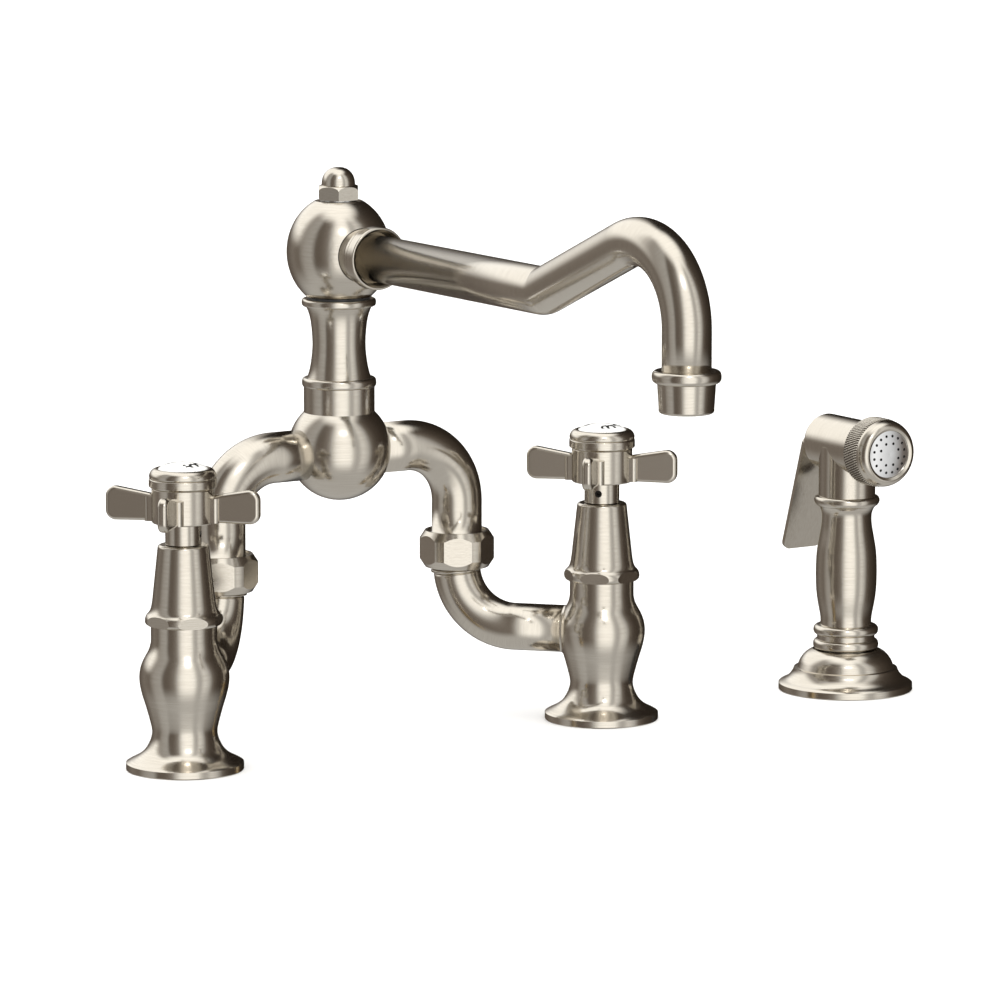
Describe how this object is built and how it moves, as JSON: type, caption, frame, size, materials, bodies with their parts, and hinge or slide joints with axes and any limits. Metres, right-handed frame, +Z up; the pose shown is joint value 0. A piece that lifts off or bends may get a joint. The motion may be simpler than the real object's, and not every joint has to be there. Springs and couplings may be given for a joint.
{
  "type": "bridge kitchen faucet",
  "caption": "Deck-mounted bridge kitchen faucet in satin nickel with cross handles, a swinging crooked spout and a separate side spray in its own holder.",
  "frame": {"origin": "on the deck plane, midway between the two valve axes", "axes": "+Z up, +X toward the cold valve and the side spray, -Y toward the user"},
  "size_m": [0.3834, 0.2959, 0.3081],
  "materials": {
    "satin_nickel": "satin nickel plate, fine circumferential brushing",
    "brass": "machined",
    "alumina": "lapped",
    "porcelain": "glossy white glaze",
    "steel": "bright",
    "rubber": "matt black",
    "black_nylon": "moulded",
    "grey_plastic": "moulded",
    "chrome": "polished"
  },
  "bodies": {
    "faucet": {"bridge_ball": "satin_nickel", "cap_nut": "satin_nickel", "cap_washer": "steel", "cold_bonnet": "satin_nickel", "cold_bridge_arm": "satin_nickel", "cold_cartridge": "brass", "cold_elbow": "satin_nickel", "cold_union_nut": "satin_nickel", "cold_valve_body": "satin_nickel", "cold_valve_shank": "brass", "column_sleeve": "satin_nickel", "deck_gaskets": "rubber", "deck_washers": "steel", "diverter_spring": "steel", "fixed_discs": "alumina", "hot_bonnet": "satin_nickel", "hot_bridge_arm": "satin_nickel", "hot_cartridge": "brass", "hot_elbow": "satin_nickel", "hot_union_nut": "satin_nickel", "hot_valve_body": "satin_nickel", "hot_valve_shank": "brass", "mounting_nuts": "brass", "post_orings": "rubber", "seat_seals": "rubber", "spout_post": "brass", "spray_escutcheon": "satin_nickel", "spray_holder_nut": "black_nylon", "spray_holder_shank": "black_nylon", "thrust_washer": "black_nylon", "union_gaskets": "rubber"},
    "hot_handle": {"hot_spindle": "brass", "hot_turning_disc": "alumina", "hot_handle": "satin_nickel", "hot_index_ring": "satin_nickel", "hot_index_button": "porcelain", "hot_set_screw": "steel"},
    "cold_handle": {"cold_spindle": "brass", "cold_turning_disc": "alumina", "cold_handle": "satin_nickel", "cold_index_ring": "satin_nickel", "cold_index_button": "porcelain", "cold_set_screw": "steel"},
    "spout": {"spout_hub": "satin_nickel", "spout_collar": "satin_nickel", "spout_tube": "satin_nickel", "outlet_ring": "satin_nickel", "aerator_housing": "satin_nickel", "aerator_screen": "grey_plastic"},
    "diverter": {"diverter_piston": "brass"},
    "spray_coupling": {"spray_hose_coupling": "brass"},
    "spray_handset": {"spray_handle": "satin_nickel", "spray_head": "satin_nickel", "spray_lever_pin": "steel", "spray_plunger_spring": "steel", "spray_knurled_ring": "satin_nickel", "spray_bezel": "satin_nickel", "spray_face": "chrome"},
    "spray_lever": {"spray_lever": "satin_nickel"},
    "spray_plunger": {"spray_plunger": "steel"}
  },
  "joints": [
    {"name": "spout_swivel", "type": "hinge", "parent": "faucet", "child": "spout", "pos_m": [0, 0.0462, 0.2], "axis": [0, 0, 1], "continuous": true},
    {"name": "hot_handle_turn", "type": "hinge", "parent": "faucet", "child": "hot_handle", "pos_m": [-0.1016, 0, 0.1], "axis": [0, 0, 1], "range_deg": [0, 90]},
    {"name": "cold_handle_turn", "type": "hinge", "parent": "faucet", "child": "cold_handle", "pos_m": [0.1016, 0, 0.1], "axis": [0, 0, -1], "range_deg": [0, 90]},
    {"name": "diverter_lift", "type": "slide", "parent": "faucet", "child": "diverter", "axis": [0, 0, 1], "range_m": [0, 0.0035], "stiffness_N_per_m": 150, "springref_m": -0.002, "deforming": ["diverter_spring"]},
    {"name": "spray_lift", "type": "slide", "parent": "faucet", "child": "spray_coupling", "axis": [0, 0, 1], "range_m": [0, 0.038]},
    {"name": "spray_turn", "type": "hinge", "parent": "spray_coupling", "child": "spray_handset", "pos_m": [0.2286, 0, 0], "axis": [0, 0, 1], "continuous": true},
    {"name": "spray_lever_press", "type": "hinge", "parent": "spray_handset", "child": "spray_lever", "pos_m": [0.2286, 0.0126, 0.1095], "axis": [-1, 0, 0], "range_deg": [0, 14], "stiffness_Nm_per_rad": 0.06, "springref_deg": -11.46},
    {"name": "spray_plunger_travel", "type": "slide", "parent": "spray_handset", "child": "spray_plunger", "axis": [0, -1, 0], "range_m": [0, 0.003]}
  ],
  "couplings": [
    {"joint": "spray_plunger_travel", "follows": "spray_lever_press", "m_per_rad": 0.0115}
  ]
}
